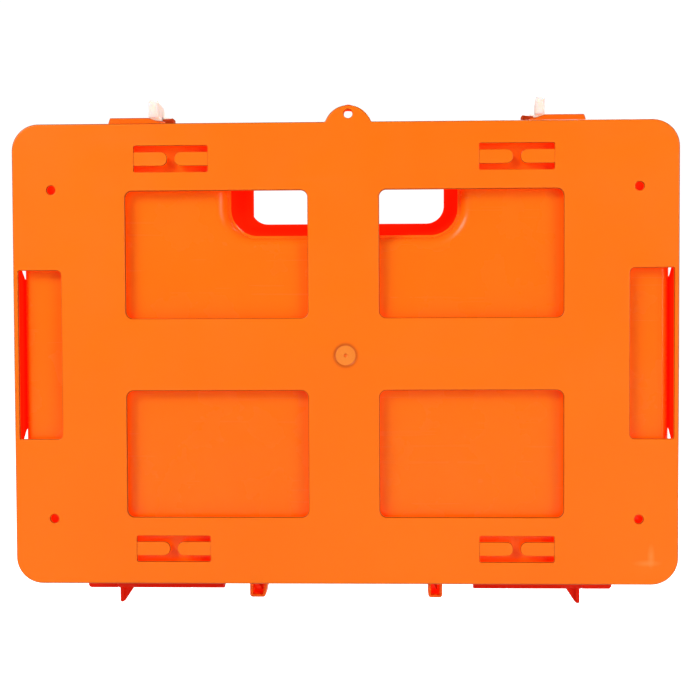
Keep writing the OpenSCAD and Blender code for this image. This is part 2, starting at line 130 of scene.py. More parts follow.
def lamp(name, place, target, width, height, power, gloss=1.0):
    """Rectangular soft lamp at place, facing target; gloss is how strongly it is mirrored."""
    data = bpy.data.lights.new(name, "AREA")
    data.specular_factor = gloss
    data.shape, data.size, data.size_y, data.energy = "RECTANGLE", width, height, power
    holder = bpy.data.objects.new(name, data)
    bpy.context.collection.objects.link(holder)
    holder.location = place
    holder.rotation_euler = (Vector(target) - Vector(place)).to_track_quat("-Z", "Y").to_euler()


surroundings()
lamp("key_lamp", (-1.3, -1.3, 1.15), (0, 0, 0), 1.0, 0.8, 29, gloss=1.4)
lamp("fill_lamp", (1.5, -1.4, 0.3), (0, 0, 0), 0.9, 1.0, 14, gloss=0.6)
lamp("low_lamp", (-0.1, -1.7, -0.7), (0, 0, -0.1), 1.8, 0.9, 18, gloss=0.0)
lamp("room_lamp", (0.9, 1.7, 1.5), (0, 0.07, 0), 1.4, 1.0, 42, gloss=0.3)

# ---- Wall bracket ----
# One injection-moulded plate of orange ABS with a turned-up lip, four big windows, tongue slots, a hanging
# ear and two springy side arms whose hooks hold the case. The sprue left a round mark at its middle.
# Sizes are in millimetres from here on, and piece() turns them into metres.
MM = 0.001
PLATE_HALF = (192.0, 133.5)
PLATE_R, PLATE_T, LIP_Y, LIP_T = 15.5, 2.5, 6.0, 2.5
WINDOW = (20.7, 126.2, 21.0, 94.5, 4.0)
SLOT_AT, SLOT_HALF = (99.5, 113.0), (21.5, 7.6)
TONGUE_HALF, TONGUE_TIP, TONGUE_R, TONGUE_DROP = 4.0, 2.2, 3.7, 0.35
SIDE_WINDOW = (164.0, 189.0, 49.0)
SCREW_AT, SCREW_R = (169.25, 95.5), 2.6
EAR_X, EAR_Z, EAR_R, EYE_Z, EYE_R = 3.0, 129.0, 14.0, 138.0, 2.5
ARM = {"x": 189.0, "t": 2.5, "root": (7.5, 50.6), "bend": (14.0, 45.0), "end": (39.5, 39.0)}
HOOK = {"reach": 3.6, "half": 38.0, "y": (35.5, 39.5)}
SPRUE_AT = (1.0, -0.7)
# Places of the sink mark's dent, which gets a faint pale L of painted highlight.
SINK_GLINT_UPRIGHT, SINK_GLINT_LEVEL = (176.3, -117.0), (174.0, -121.0)


def rounded(corners, radii, steps=12):
    """Closed outline through anticlockwise corners, each replaced by an arc of its radius tangent to both
    sides: centre = corner - r (n0 + n1) / (1 + n0.n1), point = centre + r n, with n turned evenly from the
    first side's outward normal n0 to the second's n1. Returns points and outward normals."""
    c = np.asarray(corners, float)
    side = np.roll(c, -1, axis=0) - c
    after = np.arctan2(-side[:, 0], side[:, 1])
    before = np.roll(after, 1)
    turn = (after - before + np.pi) % (2 * np.pi) - np.pi
    bend = np.broadcast_to(np.asarray(radii, float), len(c)) * np.where(turn < -1e-9, -1, 1)
    n0 = np.stack([np.cos(before), np.sin(before)], axis=1)
    n1 = np.stack([np.cos(after), np.sin(after)], axis=1)
    reach = bend / (1 + (n0 * n1).sum(axis=1))
    centre = c - reach[:, None] * (n0 + n1)
    angle = before[:, None] + turn[:, None] * np.linspace(0, 1, steps + 1)
    n = np.stack([np.cos(angle), np.sin(angle)], axis=2)
    p = centre[:, None] + bend[:, None, None] * n
    return p.reshape(-1, 2), n.reshape(-1, 2)


def box_corners(x0, x1, z0, z1):
    """Corners of an upright rectangle, anticlockwise."""
    return [(x0, z0), (x1, z0), (x1, z1), (x0, z1)]


def ring(x, z, r, steps=48):
    """Circle of radius r about (x, z), with its outward normals."""
    angle = np.linspace(0, 2 * np.pi, steps, endpoint=False)
    n = np.stack([np.cos(angle), np.sin(angle)], axis=1)
    return np.array([x, z]) + r * n, n


def arc(centre, r, start, end, steps=6):
    """Points of a profile's arc, as (offset, depth), between two angles in degrees."""
    angle = np.radians(np.linspace(start, end, steps + 1))
    return np.stack([centre[0] + r * np.cos(angle), centre[1] + r * np.sin(angle)], axis=1)


def carry(outline, profile):
    """Profile of (offset, depth) carried along an outline: point = outline + offset * normal, one ring of
    points for each step of the profile."""
    p, n = outline
    profile = np.asarray(profile, float)
    flat = p[None] + profile[:, 0, None, None] * n[None]
    depth = np.broadcast_to(profile[:, 1, None, None], flat.shape[:2] + (1,))
    return np.concatenate([flat, depth], axis=2)


def along(rings, axis):
    """Turns (u, v, depth) into (x, y, z) with the depth along the named axis."""
    order = {"y": (0, 2, 1), "x": (2, 0, 1), "z": (0, 1, 2)}[axis]
    return rings[..., order]


def loft(rings, caps=(True, True), loop=False):
    """Quads between successive rings; the first and last ring may be closed by a flat face, or the last
    joined to the first. Returns vertices and faces."""
    m, n = rings.shape[:2]
    row = np.arange(m if loop else m - 1)[:, None] * n
    here, there = np.arange(n), (np.arange(n) + 1) % n
    nxt = (row + n) % (m * n)
    quads = np.stack([row + here, row + there, nxt + there, nxt + here], axis=2).reshape(-1, 4).tolist()
    ends = [list(range(n))] * caps[0] + [list(range((m - 1) * n, m * n))] * caps[1]
    return rings.reshape(-1, 3), quads + ([] if loop else ends)


def flat_face(rings):
    """Flat face with holes: the first ring is its edge and the others are its holes. Triangles come from a
    scan fill of all the rings together."""
    points = np.concatenate(rings)
    filled = tessellate_polygon([[Vector(p) for p in r] for r in rings])
    return points, [list(t) for t in filled]


SHARP_ANGLE = math.radians(32)


def piece(name, shells, material, body, nodes):
    """One object from closed shells given in millimetres: doubles are merged, normals turned outward, edges
    over the sharp angle kept crisp, and the rest shaded smooth with large faces weighing most. It rides on
    the body and stands for the nodes."""
    verts = np.concatenate([v for v, _ in shells]) * MM
    start = np.cumsum([0] + [len(v) for v, _ in shells])
    faces = [[i + s for i in f] for s, (_, fs) in zip(start, shells) for f in fs]
    mesh = bpy.data.meshes.new(name)
    mesh.from_pydata(verts.tolist(), [], faces)
    work = bmesh.new()
    work.from_mesh(mesh)
    bmesh.ops.remove_doubles(work, verts=work.verts, dist=2e-6)
    bmesh.ops.dissolve_degenerate(work, edges=work.edges, dist=1e-6)
    bmesh.ops.recalc_face_normals(work, faces=work.faces)
    work.to_mesh(mesh)
    work.free()
    mesh.shade_smooth()
    mesh.set_sharp_from_angle(angle=SHARP_ANGLE)
    mesh.materials.append(material)
    made = bpy.data.objects.new(name, mesh)
    bpy.context.collection.objects.link(made)
    weight = made.modifiers.new("even_shading", "WEIGHTED_NORMAL")
    weight.keep_sharp = True
    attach(made, body)
    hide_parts(*nodes)
    return made


def rounded_bar(outline, low, high, edge, axis):
    """Solid bar: an outline carried from low to high with both ends rounded by edge."""
    profile = np.concatenate([arc((-edge, low + edge), edge, -90, 0, 5),
                              arc((-edge, high - edge), edge, 0, 90, 5)])
    return loft(along(carry(outline, profile), axis))


def mirrored(shells):
    """The shells and their mirror images across the middle plane."""
    flip = np.array([-1.0, 1.0, 1.0])
    return shells + [(v * flip, f) for v, f in shells]


def mixed(tree, factor, low, high):
    """Colour mix node: factor is a (node, output) pair; low and high are such pairs or plain colours."""
    made = tree.nodes.new("ShaderNodeMix")
    made.data_type = "RGBA"
    link(tree, *factor, made, 0)
    for entry, value in ((6, low), (7, high)):
        if isinstance(value[0], bpy.types.Node):
            link(tree, *value, made, entry)
        else:
            made.inputs[entry].default_value = (*value, 1)
    return made, 2


def surface_group():
    """Moulded surface: broad tint changes where the melt cooled unevenly, a fine eroded grain, and thin
    rub marks that dull the gloss."""
    group = bpy.data.node_groups.new("moulded_surface", "ShaderNodeTree")
    entry, out = group.nodes.new("NodeGroupInput"), group.nodes.new("NodeGroupOutput")
    for name, kind, value in (
            ("Vector", "NodeSocketVector", None), ("Tint", "NodeSocketColor", (1, 1, 1, 1)),
            ("Shade", "NodeSocketColor", (0, 0, 0, 1)), ("Grain", "NodeSocketFloat", 2600.0),
            ("Gloss Low", "NodeSocketFloat", 0.28), ("Gloss High", "NodeSocketFloat", 0.42),
            ("Rubs", "NodeSocketFloat", 0.25)):
        made = group.interface.new_socket(name, in_out="INPUT", socket_type=kind)
        if value is not None:
            made.default_value = value
    for name, kind in (("Colour", "NodeSocketColor"), ("Roughness", "NodeSocketFloat"),
                       ("Height", "NodeSocketFloat")):
        group.interface.new_socket(name, in_out="OUTPUT", socket_type=kind)

    def noise(scale, detail, source=entry, socket="Vector"):
        made = group.nodes.new("ShaderNodeTexNoise")
        made.inputs["Scale"].default_value = scale
        made.inputs["Detail"].default_value = detail
        link(group, source, socket, made, "Vector")
        return made

    broad, fine = noise(7.0, 3.0), noise(1.0, 2.0)
    link(group, entry, "Grain", fine, "Scale")
    smudge = noise(38.0, 4.0)
    # rub marks: noise stretched along a slanted line, cut to its thin ridges
    stretch = group.nodes.new("ShaderNodeMapping")
    stretch.inputs["Rotation"].default_value = (0.3, 0.6, 0.2)
    stretch.inputs["Scale"].default_value = (9.0, 420.0, 420.0)
    link(group, entry, "Vector", stretch, "Vector")
    rubs = noise(1.0, 1.0, stretch, "Vector")
    where = group.nodes.new("ShaderNodeMath")
    where.operation = "MULTIPLY"
    link(group, *ranged(group, (rubs, "Fac"), 0.66, 0.74), where, 0)
    link(group, entry, "Rubs", where, 1)

    spread = ranged(group, (broad, "Fac"), 0.35, 0.68)
    link(group, *mixed(group, spread, (entry, "Tint"), (entry, "Shade")), out, "Colour")

    gloss, _ = ranged(group, (smudge, "Fac"), 0.3, 0.7)
    link(group, entry, "Gloss Low", gloss, "To Min")
    link(group, entry, "Gloss High", gloss, "To Max")
    duller = group.nodes.new("ShaderNodeMath")
    duller.operation = "ADD"
    link(group, gloss, "Result", duller, 0)
    link(group, where, "Value", duller, 1)
    link(group, duller, "Value", out, "Roughness")

    height = group.nodes.new("ShaderNodeMath")
    height.operation = "MULTIPLY_ADD"
    height.inputs[1].default_value = -0.5
    link(group, where, "Value", height, 0)
    link(group, fine, "Fac", height, 2)
    link(group, height, "Value", out, "Height")
    return group


MOULDED = surface_group()


def moulded_plastic(name, tint, shade, grain=2600.0, gloss=(0.28, 0.4), rubs=0.12, relief=0.012):
    """Material with the moulded surface on object coordinates; relief is the grain's height in millimetres.
    Returns the material, its shader node and its surface node."""
    made = bpy.data.materials.new(name)
    made.use_nodes = True
    tree = made.node_tree
    shader = tree.nodes["Principled BSDF"]
    place = tree.nodes.new("ShaderNodeTexCoord")
    surface = tree.nodes.new("ShaderNodeGroup")
    surface.node_tree = MOULDED
    link(tree, place, "Object", surface, "Vector")
    surface.inputs["Tint"].default_value = (*tint, 1)
    surface.inputs["Shade"].default_value = (*shade, 1)
    surface.inputs["Grain"].default_value = grain
    surface.inputs["Gloss Low"].default_value, surface.inputs["Gloss High"].default_value = gloss
    surface.inputs["Rubs"].default_value = rubs
    bump = tree.nodes.new("ShaderNodeBump")
    bump.inputs["Strength"].default_value = 0.6
    bump.inputs["Distance"].default_value = relief * MM
    link(tree, surface, "Colour", shader, "Base Color")
    link(tree, surface, "Roughness", shader, "Roughness")
    link(tree, surface, "Height", bump, "Height")
    link(tree, bump, "Normal", shader, "Normal")
    return made, shader, surface


def soft_spot(tree, place, at, stretch, inner, outer):
    """Mask round the place at = (x, z): 1 within inner mm, fading to 0 at outer, stretched in x and z."""
    moved = tree.nodes.new("ShaderNodeMapping")
    moved.vector_type = "TEXTURE"
    moved.inputs["Location"].default_value = (at[0] * MM, 0, at[1] * MM)
    moved.inputs["Scale"].default_value = (stretch[0], 1, stretch[1])
    apart = tree.nodes.new("ShaderNodeVectorMath")
    apart.operation = "LENGTH"
    link(tree, place, "Object", moved, "Vector")
    link(tree, moved, "Vector", apart, 0)
    return ranged(tree, (apart, "Value"), outer * MM, inner * MM)


def orange_with_painted_shade(name, tint, shade, marks_and_painted_light=False, **finish):
    """Orange ABS with painted shade and glow: where ambient occlusion finds folds and channels, the colour is
    painted a deep red, the shade of plastic lit only through its walls, and a painted red glow is added, a
    little everywhere and strongest there. With the marks on, the wall-side faces that turn aside get painted
    brown shade, the sprue mark is a pale disc of real blush with painted shade in its rim groove and pit, and
    the sink mark's dent gets a faint pale L of painted highlight."""
    made, shader, surface = moulded_plastic(name, tint, shade, **finish)
    tree = made.node_tree
    # Ambient occlusion within 7 mm: it finds the folds and channels that get the painted shade.
    near = tree.nodes.new("ShaderNodeAmbientOcclusion")
    near.samples = 6
    near.inputs["Distance"].default_value = 0.007
    open_to_light = ranged(tree, (near, "AO"), 0.0, 0.5)
    colour = (surface, "Colour")
    if marks_and_painted_light:
        place = tree.nodes.new("ShaderNodeTexCoord")
        split = tree.nodes.new("ShaderNodeSeparateXYZ")
        link(tree, place, "Normal", split, 0)
        flat = tree.nodes.new("ShaderNodeMath")
        flat.operation = "ABSOLUTE"
        link(tree, split, "Y", flat, 0)
        depth = tree.nodes.new("ShaderNodeSeparateXYZ")
        link(tree, place, "Object", depth, 0)
        # Painted shade: faces on the wall side that turn aside from the front get a dark brown tone.
        turned_aside = ranged(tree, (flat, "Value"), 0.97, 0.6, (0.0, 0.85))
        edge_shade = mixed(tree, turned_aside, colour, (0.2, 0.06, 0.004))
        colour = mixed(tree, ranged(tree, (depth, "Y"), 1.9 * MM, 1.2 * MM), colour, edge_shade)
        # The pale disc is the sprue's real blush; the dark rim round it and the dark pit are painted shade of
        # its groove and pit.
        for mask, strength, tone in (
                (soft_spot(tree, place, SPRUE_AT, (1, 1), 6.2, 8.2), 0.9, (0.56, 0.1, 0.004)),
                (soft_spot(tree, place, SPRUE_AT, (1, 1), 5.4, 6.1), 1.0, (0.9, 0.27, 0.03)),
                (soft_spot(tree, place, SPRUE_AT, (1, 1), 0.5, 1.2), 0.95, (0.12, 0.03, 0.002)),
                # Painted highlight: the sink mark's dent as a faint pale L.
                (soft_spot(tree, place, SINK_GLINT_UPRIGHT, (1.2, 4.0), 0.0, 2.0), 0.5, (1.0, 0.36, 0.08)),
                (soft_spot(tree, place, SINK_GLINT_LEVEL, (4.5, 1.1), 0.0, 2.0), 0.5, (1.0, 0.36, 0.08))):
            colour = mixed(tree, ranged(tree, mask, 0.0, 1.0, (0.0, strength)), colour, tone)
    # Painted shade: the colour turns deep red where the occlusion is high; painted glow: a red emission, a
    # little everywhere and stronger there.
    colour = mixed(tree, open_to_light, (1.0, 0.06, 0.002), colour)
    painted_glow = mixed(tree, open_to_light, (0.4, 0.006, 0.0), (0.1, 0.0, 0.0))
    link(tree, *colour, shader, "Base Color")
    link(tree, *painted_glow, shader, "Emission Color")
    shader.inputs["Emission Strength"].default_value = 1.0
    shader.inputs["Specular IOR Level"].default_value = 0.24
    return made


def plate_edge():
    """Profile across the plate's rim: front face, rounded edge, lip standing into the room, and its foot."""
    return np.concatenate([
        [(-1.4, 0.0)], arc((-1.1, 1.1), 1.1, -90, 0, 8), arc((-0.7, LIP_Y - 0.7), 0.7, 0, 90),
        arc((0.7 - LIP_T, LIP_Y - 0.7), 0.7, 90, 180), arc((-LIP_T - 0.5, PLATE_T + 0.5), 0.5, 0, -90),
        [(-LIP_T - 0.8, PLATE_T)]])


def hole_edge(front, back, depth=PLATE_T):
    """Profile through a hole's edge, from the wall-side face to the room side, rounded at both."""
    return np.concatenate([
        [(front + 0.3, 0.0)], arc((front, front), front, -90, -180), arc((back, depth - back), back, 180, 90),
        [(back + 0.3, depth)]])


def eye_edge():
    """The hanging eye is longer than the plate is thick: a collar stands round it on the room side."""
    rise = LIP_Y - 1.5
    return np.concatenate([
        [(0.9, 0.0)], arc((0.6, 0.6), 0.6, -90, -180), arc((0.4, rise - 0.4), 0.4, 180, 90),
        arc((1.9, rise - 0.4), 0.4, 90, 0), arc((2.7, PLATE_T + 0.4), 0.4, 180, 270), [(3.0, PLATE_T)]])


def tongue(place, way):
    """Tongue from the slot's end towards its middle: straight sides, a round tip, its root in the plate."""
    w, t, g = SLOT_HALF[0], TONGUE_HALF, TONGUE_TIP
    outline, normals = rounded(box_corners(g, w + 0.6, -t, t), [TONGUE_R, 0.1, 0.1, TONGUE_R], 10)
    side = (outline * np.array([way, 1]) + np.array(place), normals * np.array([way, 1]))
    return rounded_bar(side, TONGUE_DROP, PLATE_T - 0.1, 0.35, "y")


def bracket_outline():
    """Plate outline with the hanging ear: the ear is one big arc between two leaning sides."""
    (w, h), lean = PLATE_HALF, math.radians(25)
    tip = EAR_Z + EAR_R / math.sin(lean)
    foot = (tip - h) * math.tan(lean)
    corners = [(-w, -h), (w, -h), (w, h), (EAR_X + foot, h), (EAR_X, tip), (EAR_X - foot, h), (-w, h)]
    return rounded(corners, [PLATE_R, PLATE_R, PLATE_R, 1.2, EAR_R, 1.2, PLATE_R], 28)


def sprue_mark():
    """Round mark at the middle: radius against depth gives a sunken disc with faint turned rings and the
    torn-off stub's pit."""
    r = np.array([6.8, 6.4, 6.2, 6.0, 5.8, 5.6, 5.4, 5.0, 4.6, 4.2, 3.7, 3.2, 2.7, 2.2, 1.7, 1.3, 1.1, 0.8,
                  0.6, 0.3])
    y = np.array([0, 0, 0.05, 0.25, 0.35, 0.35, 0.22, 0.26, 0.22, 0.25, 0.22, 0.25, 0.21, 0.24, 0.2, 0.12,
                  0.2, 0.8, 1.1, 1.2])
    p, n = ring(*SPRUE_AT, 0.0)
    return carry((p, n), np.stack([r, y], axis=1))


def bracket_plate():
    """Plate in bands, one round its rim and one through each hole, with a flat face before and behind them,
    and the tongues as separate bars in their slots."""
    x0, x1, z0, z1, r = WINDOW
    s0, s1, sz = SIDE_WINDOW
    edges = [(bracket_outline(), plate_edge())]
    for sx in (-1, 1):
        for s in (-1, 1):
            xs, zs = sorted((sx * x0, sx * x1)), sorted((s * z0, s * z1))
            edges.append((rounded(box_corners(*xs, *zs), r), hole_edge(0.9, 0.5)))
            slot = box_corners(sx * SLOT_AT[0] - SLOT_HALF[0], sx * SLOT_AT[0] + SLOT_HALF[0],
                               s * SLOT_AT[1] - SLOT_HALF[1], s * SLOT_AT[1] + SLOT_HALF[1])
            edges.append((rounded(slot, 1.0, 5), hole_edge(0.35, 0.4)))
            edges.append((ring(sx * SCREW_AT[0], s * SCREW_AT[1], SCREW_R), hole_edge(0.5, 0.4)))
        xs = sorted((sx * s0, sx * s1))
        inner, outer = 2.8, 0.7
        radii = [inner, outer, outer, inner] if sx > 0 else [outer, inner, inner, outer]
        edges.append((rounded(box_corners(*xs, -sz, sz), radii), hole_edge(0.7, 0.5)))
    edges.append((ring(EAR_X, EYE_Z, EYE_R), eye_edge()))
    bands = [carry(outline, profile) for outline, profile in edges]
    sprue = sprue_mark()
    shells = [loft(along(b, "y"), caps=(False, False)) for b in bands]
    shells.append(loft(along(sprue, "y"), caps=(False, True)))
    front = [along(b[0], "y") for b in bands] + [along(sprue[0], "y")]
    back = [along(b[-1], "y") for b in bands]
    tongues = [tongue((sx * SLOT_AT[0], sz * SLOT_AT[1]), way) for sx in (-1, 1) for sz in (-1, 1)
               for way in (-1, 1)]
    return shells + [flat_face(front), flat_face(back)] + tongues


def side_arm():
    """Arm in the plane of the case's side, narrower with depth, and its hook."""
    (ry, rz), (by, bz), (ey, ez) = ARM["root"], ARM["bend"], ARM["end"]
    outline = rounded([(PLATE_T - 1, -rz), (ry, -rz), (by, -bz), (ey, -ez), (ey, ez), (by, bz), (ry, rz),
                       (PLATE_T - 1, rz)], [0.3, 3.0, 3.0, 3.0, 3.0, 3.0, 3.0, 0.3], 8)
    arm = rounded_bar(outline, ARM["x"], ARM["x"] + ARM["t"], 0.6, "x")
    (y0, y1), x, tip = HOOK["y"], ARM["x"], ARM["x"] - HOOK["reach"]
    nose = rounded([(tip, y0), (x + 0.6, y0), (x + 0.6, y1), (x, y1), (tip, y1 - 2)],
                   [0.5, 0.2, 0.2, 0.4, 0.7], 6)
    return [arm, rounded_bar(nose, -HOOK["half"], HOOK["half"], 0.5, "z")]


bracket_orange = orange_with_painted_shade("bracket_orange", (1.0, 0.2, 0.004), (0.97, 0.185, 0.003),
                                marks_and_painted_light=True)
# Painted shade and glow: deep red with a red emission, for faces that lie in shade inside the hand opening
# and on the arms' inner sides.
channel_shade_red, channel_shader, _ = moulded_plastic("channel_shade_red", (1.0, 0.022, 0.002), (0.96, 0.016, 0.001),
                                                 gloss=(0.34, 0.46), rubs=0.06)
channel_shader.inputs["Emission Color"].default_value = (1.0, 0.006, 0.0, 1)
channel_shader.inputs["Emission Strength"].default_value = 0.5
channel_shader.inputs["Specular IOR Level"].default_value = 0.0


def face_centres(mesh):
    """The x, y and z of every face's centre, in millimetres."""
    centre = np.empty(len(mesh.polygons) * 3)
    mesh.polygons.foreach_get("center", centre)
    return centre.reshape(-1, 3).T / MM


def shade_arms_red(made):
    """The arms' inner faces take the channel's painted deep red shade and glow."""
    mesh = made.data
    mesh.materials.append(channel_shade_red)
    x, y, _ = face_centres(mesh)
    x = np.abs(x)
    inner = (y > PLATE_T + 1) & (x < ARM["x"] + 0.3) & (x > ARM["x"] - HOOK["reach"])
    mesh.polygons.foreach_set("material_index", inner.astype(np.int32))
    mesh.update()


shade_arms_red(piece("bracket", bracket_plate() + mirrored(side_arm()), bracket_orange, "bracket",
                  ["wall_bracket"]))

# ---- Case shells ----
# Two deep shells of the same orange ABS, hinged at the bottom. Each has a flared rim round the parting
# plane and a U-shaped hand opening from the top whose walls lean in towards the rim.
BACK_Y, PART_Y, FRONT_Y, RIM_GAP = 6.5, 68.1, 143.0, 0.6
RIM, RIM_R, RIM_D, FLARE_D = (199.0, 141.0), 28.0, 10.0, 14.0
STEP = (10.6, 9.0)
WALL, LAND = 2.8, 8.5
HAND_OUT, HAND_IN = (66.4, 69.0, 16.0), (60.7, 80.0, 11.0)
HAND_WALL, HAND_LAND, EDGE_R, DISH_R = 3.6, 6.0, 4.5, 7.0
DRAFT, LEDGE, FLOOR_R = 0.9, 1.4, 5.0
HINGES_FROM, LATCHES_FROM = 70.0, 90.0
GROOVE = {"x": 184.9, "y": (35.0, 40.5), "top": 38.1}

case_orange = orange_with_painted_shade("case_orange", (1.0, 0.19, 0.004), (0.97, 0.175, 0.003), gloss=(0.2, 0.32),
                             rubs=0.06)
# Painted shade: the hinge parts in the shade under the case get a darker red copy of the orange, with a faint
# painted red glow.
hinge_shade_red, hinge_shader, _ = moulded_plastic("hinge_shade_red", (0.72, 0.022, 0.004), (0.6, 0.016, 0.003),
                                             gloss=(0.3, 0.42), rubs=0.1)
hinge_shader.inputs["Emission Color"].default_value = (1.0, 0.004, 0.0, 1)
hinge_shader.inputs["Emission Strength"].default_value = 0.16
hinge_shader.inputs["Specular IOR Level"].default_value = 0.06
# Painted shade: the guards and catches get darker copies of the case orange.
guard_shade_orange, dark_shader, _ = moulded_plastic("guard_shade_orange", (0.72, 0.13, 0.005), (0.65, 0.115, 0.004),
                                              rubs=0.1)
dark_shader.inputs["Specular IOR Level"].default_value = 0.2
catch_shade_red, catch_shader, _ = moulded_plastic("catch_shade_red", (0.6, 0.075, 0.005), (0.54, 0.066, 0.004), rubs=0.1)
catch_shader.inputs["Specular IOR Level"].default_value = 0.1


def colour_faces(made):
    """Painted shade by material: every face inside the U, between the ledges at its two mouths, takes the
    second material, a painted deep red shade and glow for the walls of the hand opening. The hinge parts,
    below the rim and clear of the feet, take the third, a darker painted red shade; the thick guards and
    catches, above the rim, take the fourth and fifth, darker orange and red copies that paint their shade."""
    mesh = made.data
    for extra in (channel_shade_red, hinge_shade_red, guard_shade_orange, catch_shade_red):
        mesh.materials.append(extra)
    x, y, z = face_centres(mesh)
    x = np.abs(x)
    low, high = BACK_Y + DISH_R + 0.5, FRONT_Y - DISH_R - 0.5
    grow = np.interp(y, [low, PART_Y, high], [0.3, 0.9, 0.3])
    width = np.interp(y, [low, PART_Y, high], [HAND_OUT[0], HAND_IN[0], HAND_OUT[0]]) + grow
    floor = np.interp(y, [low, PART_Y, high], [HAND_OUT[1], HAND_IN[1], HAND_OUT[1]]) - grow
    channel = (x < width) & (z > floor) & (y > low) & (y < high)
    hinge = (z < -RIM[1] - 0.4) & (x > HINGES_FROM)
    above = (z > RIM[1] + 0.1) & (x > LATCHES_FROM)
    colours = channel + 2 * hinge + 3 * (above & (y < PART_Y)) + 4 * (above & (y > PART_Y))
    mesh.polygons.foreach_set("material_index", colours.astype(np.int32))
    mesh.update()


def shell_section(y, out, corner, hand, hand_r, crest, groove=False):
    """One closed section of a shell at depth y: a rounded rectangle of half sizes out with a U cut from its
    top, hand = (half width, floor). crest is the radius where the U meets the top. Straight marks on the
    sides let the hook groove end there."""
    (w, h), (a, f), mark = out, hand, GROOVE["top"]
    corners = [(-w, -h), (w, -h), (w, mark), (w, mark + 0.3), (w, h), (a, h), (a, f), (-a, f), (-a, h),
               (-w, h), (-w, mark + 0.3), (-w, mark)]
    radii = [corner, corner, 0, 0, corner, crest, hand_r, hand_r, crest, corner, 0, 0]
    p, _ = rounded(corners, radii, 14)
    if groove:
        cut = p[:, 1] < mark + 0.1
        p[:, 0] = np.where(cut, np.clip(p[:, 0], -GROOVE["x"], GROOVE["x"]), p[:, 0])
    return np.concatenate([p, np.full((len(p), 1), y)], axis=1)


def smooth(t):
    """Smooth step from 0 to 1: 3 t^2 - 2 t^3."""
    return t * t * (3 - 2 * t)


def shell_rings(face, rim, groove):
    """Sections from the outer face, round its edge, along the drafted wall, out over the flare to the rim,
    across the rim's land and back down the inside to the floor."""
    body_r, wall_y, flare_y, rim_y = RIM_R - 3, face + DISH_R, rim - RIM_D - FLARE_D, rim - RIM_D
    rings = []

    def hand_at(y, grow):
        t = np.clip((y - wall_y) / (rim + 0.5 - wall_y), 0, 1)
        w, f, r = (a + (b - a) * t for a, b in zip(HAND_OUT, HAND_IN))
        return (w + grow, f - grow), r + grow

    def add(y, inset_x, inset_z, corner, grow, crest=6.0, cut=False):
        hand, hand_r = hand_at(y, grow)
        rings.append(shell_section(y, (RIM[0] - inset_x, RIM[1] - inset_z), corner, hand, hand_r, crest, cut))

    # rounded edge of the outer face, with the opening's dished edge and its narrow ledge
    add(face, STEP[0] + EDGE_R + 1.3, STEP[1] + EDGE_R + 1.3, body_r - EDGE_R - 0.4, DISH_R + 1.8)
    for angle in np.radians(np.linspace(0, 90, 13)):
        dish, down = DISH_R * (1 - math.sin(angle)), DISH_R * (1 - math.cos(angle))
        back = EDGE_R - math.sqrt(EDGE_R ** 2 - max(EDGE_R - down, 0) ** 2)
        add(face + down, STEP[0] + DRAFT + back, STEP[1] + DRAFT + back, body_r - back, dish + LEDGE)
    add(wall_y + 0.2, STEP[0] + 0.88, STEP[1] + 0.88, body_r, 1.3)
    add(wall_y + 0.3, STEP[0] + 0.88, STEP[1] + 0.88, body_r, 0.1)
    add(wall_y + 0.7, STEP[0] + 0.87, STEP[1] + 0.87, body_r, 0.0)
    lean = DRAFT / (flare_y - wall_y)
    if groove:
        y0, y1 = GROOVE["y"]
        for y, cut in ((y0 - 0.4, False), (y0, False), (y0 + 0.02, True), (y0 + 0.4, True), (y1 - 0.4, True),
                       (y1 - 0.02, True), (y1, False), (y1 + 0.4, False)):
            inset = lean * (flare_y - y)
            add(y, STEP[0] + inset, STEP[1] + inset, body_r, 0.0, cut=cut)
    # flare
    for t in np.linspace(0, 1, 9):
        rise = smooth(t)
        add(flare_y + FLARE_D * t, STEP[0] - (STEP[0] - 2.5) * rise, STEP[1] - (STEP[1] - 2.0) * rise,
            body_r + rise, 0.0)
    # rim, rounded at both edges
    for angle in np.radians(np.linspace(0, 90, 5)):
        back = 0.8 * (1 - math.sin(angle))
        add(rim_y + 0.1 + 0.8 * (1 - math.cos(angle)), back, back, RIM_R - back, 0.0)
    for angle in np.radians(np.linspace(0, 90, 5)):
        back = 0.7 * (1 - math.cos(angle))
        add(rim - 0.7 * (1 - math.sin(angle)), back, back, RIM_R - back, back)
    # land and inside
    land = (LAND, LAND - 1)
    for angle in np.radians(np.linspace(90, 0, 5)):
        back = 0.7 * (1 - math.cos(angle))
        add(rim - 0.7 * (1 - math.sin(angle)), land[0] - back, land[1] - back, RIM_R - 8,
            HAND_LAND - back, 3.0)
    add(rim_y + 0.6, land[0], land[1], RIM_R - 8, HAND_LAND, 3.0)
    inner = (STEP[0] + WALL, STEP[1] + WALL)
    for t in np.linspace(0.1, 1, 7):
        fall = smooth(t)
        add(rim_y - (FLARE_D - 1) * t, land[0] + (inner[0] - land[0]) * fall,
            land[1] + (inner[1] - land[1]) * fall, body_r - 5 + fall * 2,
            HAND_LAND + (HAND_WALL - HAND_LAND) * fall, 3.0)
    floor_y, side_x, side_z = face + WALL, inner[0] + DRAFT, inner[1] + DRAFT
    add(floor_y + FLOOR_R, side_x, side_z, body_r - 3, HAND_WALL, 3.0)
    for angle in np.radians(np.linspace(15, 90, 6)):
        back = FLOOR_R * (1 - math.cos(angle))
        add(floor_y + FLOOR_R * (1 - math.sin(angle)), side_x + back, side_z + back,
            body_r - 3 - back, HAND_WALL + 0.3 * back, 3.0)
    add(floor_y, side_x + FLOOR_R + 0.5, side_z + FLOOR_R + 0.5, body_r - 8.5, HAND_WALL + 2.2, 2.5)
    return along(np.array(rings), "y")


